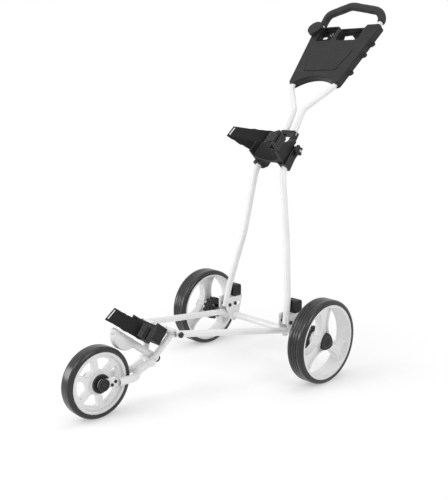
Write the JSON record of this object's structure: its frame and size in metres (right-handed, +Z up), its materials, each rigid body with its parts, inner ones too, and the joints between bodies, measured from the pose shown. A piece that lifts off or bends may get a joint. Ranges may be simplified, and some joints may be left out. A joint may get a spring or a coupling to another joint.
{
  "type": "three-wheel golf push cart",
  "caption": "Folding three-wheel golf push cart with white tube frame, strapped bag cradles, bag rest, clamp-hinged handle and console.",
  "frame": {"origin": "floor point under the middle of the rear axle", "axes": "+X across the cart towards its left wheel, +Y towards the handle, front wheel at -Y, +Z up"},
  "size_m": [0.649, 1.3576, 1.3055],
  "materials": {
    "tyre": "soft matte with fine ribs",
    "white_plastic": "satin moulded",
    "white_paint": "gloss powder coat",
    "black_plastic": "satin moulded",
    "foam": "matte foam",
    "webbing": "woven webbing",
    "steel": "zinc plated",
    "black_steel": "black coated"
  },
  "bodies": {
    "chassis": {"rear_axle": "steel", "axle_nuts": "steel", "axle_tube": "white_paint", "side_tube_left": "white_paint", "side_tube_right": "white_paint", "bracket_left": "white_paint", "bracket_right": "white_paint", "bracket_bolts": "steel", "saddle_left": "black_plastic", "saddle_right": "black_plastic", "hinge_pin": "black_steel"},
    "rear_wheel_left": {"rear_tyre_left": "tyre", "rear_rim_left": "white_plastic", "rear_bearings_left": "steel", "hub_ring_left": "black_plastic", "hub_cap_left": "black_plastic"},
    "rear_wheel_right": {"rear_tyre_right": "tyre", "rear_rim_right": "white_plastic", "rear_bearings_right": "steel", "hub_ring_right": "black_plastic", "hub_cap_right": "black_plastic"},
    "mast": {"upright_left": "white_paint", "upright_right": "white_paint", "mast_head": "black_plastic", "upper_cradle": "black_plastic", "upper_buckle": "black_plastic", "upper_strap": "webbing"},
    "upper_strap_lever": {"upper_lever": "black_plastic"},
    "clamp": {"clamp_bolt": "steel", "clamp_knob": "black_plastic"},
    "handle": {"handle_tube": "white_paint", "grip": "foam", "handle_knuckle": "black_plastic", "console_back": "black_plastic", "console_front": "black_plastic", "console_screws": "steel", "accessory_socket": "black_plastic"},
    "lid": {"console_lid": "black_plastic"},
    "front_frame": {"hinge_sleeve": "white_paint", "rest_tube": "white_paint", "rest_plug": "black_plastic", "rest_foot": "white_plastic", "crown": "white_paint", "yoke_legs": "white_paint", "fork_left": "white_paint", "fork_right": "white_paint", "fork_screws": "black_steel", "front_axle": "steel", "front_axle_nuts": "black_plastic", "cradle_webs": "white_paint", "lower_cradle": "black_plastic", "lower_buckle": "black_plastic", "lower_strap": "webbing"},
    "lower_strap_lever": {"lower_lever": "black_plastic"},
    "front_wheel": {"front_tyre": "tyre", "front_rim": "white_plastic", "front_bearings": "steel", "front_hub_discs": "black_plastic"}
  },
  "joints": [
    {"name": "rear_wheel_left_spin", "type": "hinge", "parent": "chassis", "child": "rear_wheel_left", "pos_m": [0.2925, 0, 0.146], "axis": [1, 0, 0], "continuous": true},
    {"name": "rear_wheel_right_spin", "type": "hinge", "parent": "chassis", "child": "rear_wheel_right", "pos_m": [-0.2925, 0, 0.146], "axis": [1, 0, 0], "continuous": true},
    {"name": "mast_fold", "type": "hinge", "parent": "chassis", "child": "mast", "pos_m": [0, -0.026, 0.188], "axis": [1, 0, 0], "range_deg": [0, 80]},
    {"name": "front_fold", "type": "hinge", "parent": "chassis", "child": "front_frame", "pos_m": [0, -0.463, 0.2265], "axis": [1, 0, 0], "range_deg": [0, 140]},
    {"name": "handle_fold", "type": "hinge", "parent": "mast", "child": "handle", "pos_m": [0, 0.108, 0.772], "axis": [-1, 0, 0], "range_deg": [0, 130]},
    {"name": "clamp_knob_turn", "type": "hinge", "parent": "mast", "child": "clamp", "pos_m": [0.0745, 0.108, 0.772], "axis": [1, 0, 0], "continuous": true},
    {"name": "upper_lever_swing", "type": "hinge", "parent": "mast", "child": "upper_strap_lever", "pos_m": [0.0665, 0.003, 0.82468], "axis": [0, 0.7071, 0.7071], "range_deg": [0, 100]},
    {"name": "lower_lever_swing", "type": "hinge", "parent": "front_frame", "child": "lower_strap_lever", "pos_m": [0.0645, -0.56601, 0.26686], "axis": [0, 0.6157, 0.788], "range_deg": [0, 100]},
    {"name": "lid_swing", "type": "hinge", "parent": "handle", "child": "lid", "pos_m": [0, 0.37569, 1.1195], "axis": [-1, 0, 0], "range_deg": [0, 95]},
    {"name": "front_wheel_spin", "type": "hinge", "parent": "front_frame", "child": "front_wheel", "pos_m": [0, -0.721, 0.114], "axis": [1, 0, 0], "continuous": true}
  ],
  "couplings": [
    {"joint": "front_fold", "follows": "mast_fold", "ratio": 1.75}
  ]
}
